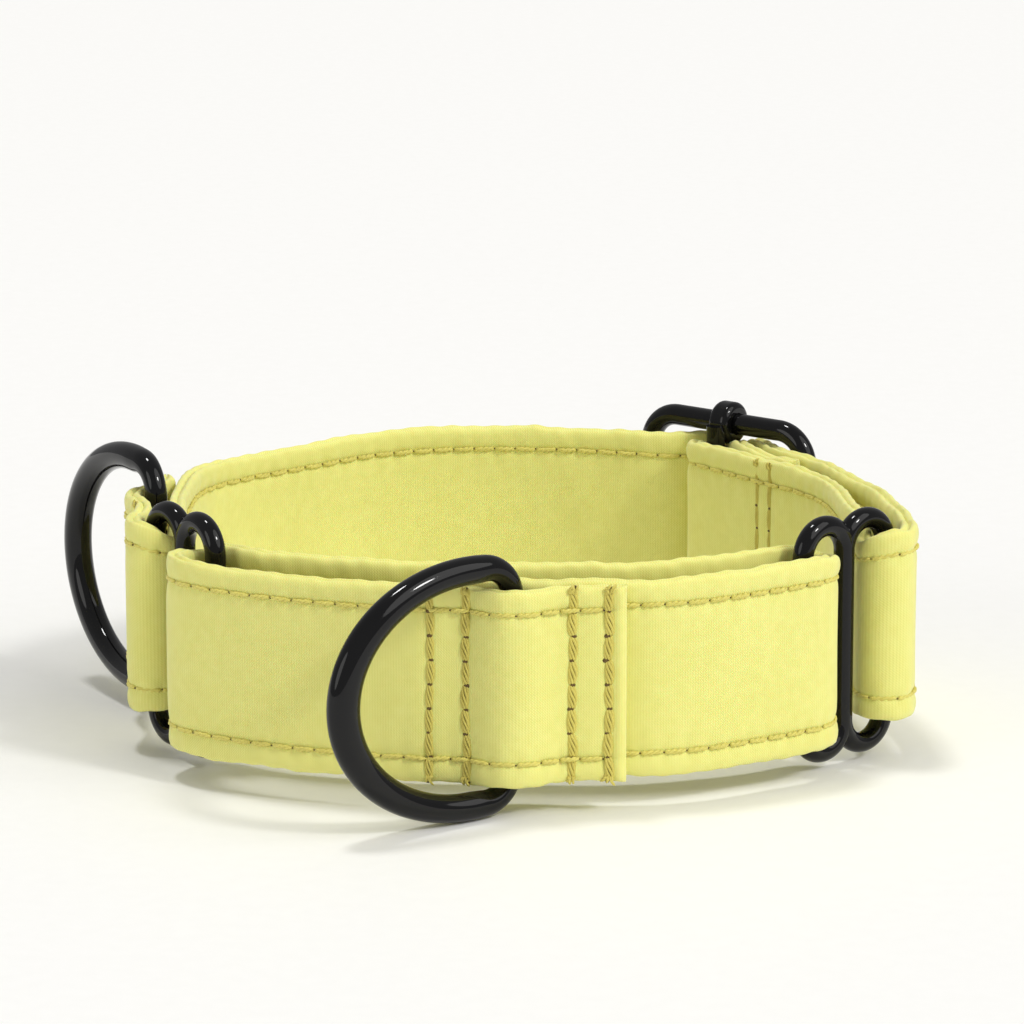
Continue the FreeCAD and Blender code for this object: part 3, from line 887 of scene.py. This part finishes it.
def make_strap(body, route, bottom, tucks, slack, rows, mats):
    """Cover, webbing, edge stitching and upright rows (place, side, thickness) of one strap."""
    fabric, webbing, thread, heavy, hole_shade = mats
    places = [place for place, side, scale in rows]

    def pucker(run):
        held = np.ones_like(run)
        for place in places:
            held = held * (1 - bell(run - place, PUCKER_HELD))
        return slack(run) * held

    piece = cover(body + "_fabric", route, bottom, tucks, pucker, places)
    dress(piece, body, [fabric], "cover_fabric", body + "_cover")
    piece = webbing_strip(body + "_inner_webbing", route, bottom, pucker)
    dress(piece, body, [webbing], "webbing", body + "_webbing")
    for edge, height in (("lower", EDGE_STITCH_IN), ("upper", STRAP_WIDTH - EDGE_STITCH_IN)):
        for kind, side in (("needle", -1), ("bobbin", 1)):
            label = body + "_" + edge + "_" + kind
            piece = edge_stitches(label + "_stitches", route, side, bottom, height, tucks)
            dress(piece, body, [thread, hole_shade], "edge_thread", label + "_thread")
    for number, (place, side, scale) in enumerate(rows, 1):
        label = str(number)
        piece = row_stitches(body + "_row_stitches_" + label, route, place, side, bottom, scale,
                             ROW_STITCH_ROW + number)
        dress(piece, body, [heavy, hole_shade], "row_thread", body + "_row_" + label)


def make_collar():
    mats = (
        fabric_material("lemon_plain_weave", *FABRIC_COLOURS, FABRIC_PITCH),
        fabric_material("inner_webbing", *WEBBING_COLOURS, WEBBING_PITCH),
        thread_material("edge_thread", *EDGE_COLOURS, THREAD_SHEEN),
        thread_material("row_thread", *ROW_COLOURS, THREAD_SHEEN),
        # Dark painted shade for the needle holes, with no sheen.
        thread_material("needle_hole_painted_shade", *HOLE_SHADE_COLOURS, 0.0),
    )

    loop = Route(LOOP_ROUTE)
    rows = [(loop.first_below(0, x), 1, scale) for x, scale in LOOP_ROWS]
    tucks = [(loop.nearest(SLOTS[side]), *LOOP_TUCK) for side in ("left_inner", "right_inner")]
    make_strap("control_loop", loop, LOOP_BOTTOM, tucks,
               lambda run: np.full_like(run, LOOP_SLACK), rows, mats)

    neck = Route(neck_route())
    back = neck.nearest(BACK_MIDDLE)
    folded = neck.nearest(RIGHT_RETURN)
    rows = [(neck.first_below(1, y), -1, scale) for y, scale in SIDE_ROWS]
    for along, scale in SLIDER_ROWS:
        rows.append((neck.nearest(slider_point(along, NECK_RETURN[0][1]), folded), 1, scale))
    tucks = [
        (neck.nearest(SLOTS["left_outer"]), *NECK_TUCK),
        (neck.nearest(SLOTS["right_outer"], neck.length / 2), *NECK_TUCK),
        (neck.nearest(slider_point(*KNOB_POINT)), *KNOB_TUCK),
        (neck.nearest(slider_point(*KNOB_RETURN_POINT), folded), *KNOB_RETURN_TUCK),
        (neck.nearest(BACK_LEFT), *BACK_SLUMP),
    ]
    make_strap("neck_strap", neck, NECK_BOTTOM, tucks,
               lambda run: NECK_SLACK + BACK_SLACK * bell(run - back, BACK_REACH), rows, mats)

    metal = metal_material("gloss_black_enamel")
    for name, (bar_at, turn, middle) in RINGS.items():
        piece = ring_piece(name + "_wire", bar_at, turn, middle)
        dress(piece, name, [metal], "black_metal", name)
    for name in METAL_NODES:
        slots = frame["nodes"][name].data.materials
        slots.clear()
        slots.append(metal)


def sun_light(name, toward, strength, angle, colour):
    """Studio light from one direction: toward is the way to the light."""
    data = bpy.data.lights.new(name, "SUN")
    data.energy = strength
    data.angle = math.radians(angle)
    data.color = colour
    light = bpy.data.objects.new(name, data)
    flat = math.hypot(toward[0], toward[1])
    light.rotation_euler = (math.atan2(flat, toward[2]), 0, math.atan2(toward[0], -toward[1]))
    bpy.context.scene.collection.objects.link(light)


def make_stage():
    """Floor, even white surroundings and lights."""
    reach = FLOOR_REACH
    corners = [(-reach, -reach, 0), (reach, -reach, 0), (reach, reach, 0), (-reach, reach, 0)]
    mesh = bpy.data.meshes.new("floor")
    mesh.from_pydata(corners, [], [(0, 1, 2, 3)])
    floor = bpy.data.objects.new("floor", mesh)
    bpy.context.scene.collection.objects.link(floor)
    floor.location.z = FLOOR_Z
    floor.data.materials.append(floor_material())

    world = bpy.data.worlds.new("studio")
    world.use_nodes = True
    background = world.node_tree.nodes["Background"]
    background.inputs["Color"].default_value = (1.0, 1.0, 1.0, 1)
    background.inputs["Strength"].default_value = WORLD_STRENGTH
    bpy.context.scene.world = world

    for sun in SUNS:
        sun_light(*sun)


def make_camera():
    """The photograph's view of the collar."""
    data = bpy.data.cameras.new("camera")
    data.sensor_width = SENSOR_WIDTH
    data.lens = LENS_PIXELS / IMAGE_PIXELS * SENSOR_WIDTH
    data.clip_start = 0.01
    camera = bpy.data.objects.new("camera", data)
    height = CAMERA_HEIGHT + LIFT
    camera.location = (SHIFT[0] * MM, (SHIFT[1] - CAMERA_DISTANCE) * MM, height * MM)
    camera.rotation_euler = (math.radians(90 - CAMERA_PITCH), 0, 0)
    bpy.context.scene.collection.objects.link(camera)
    bpy.context.scene.camera = camera


bpy.context.scene.view_settings.view_transform = "Standard"
make_camera()
make_collar()
make_stage()
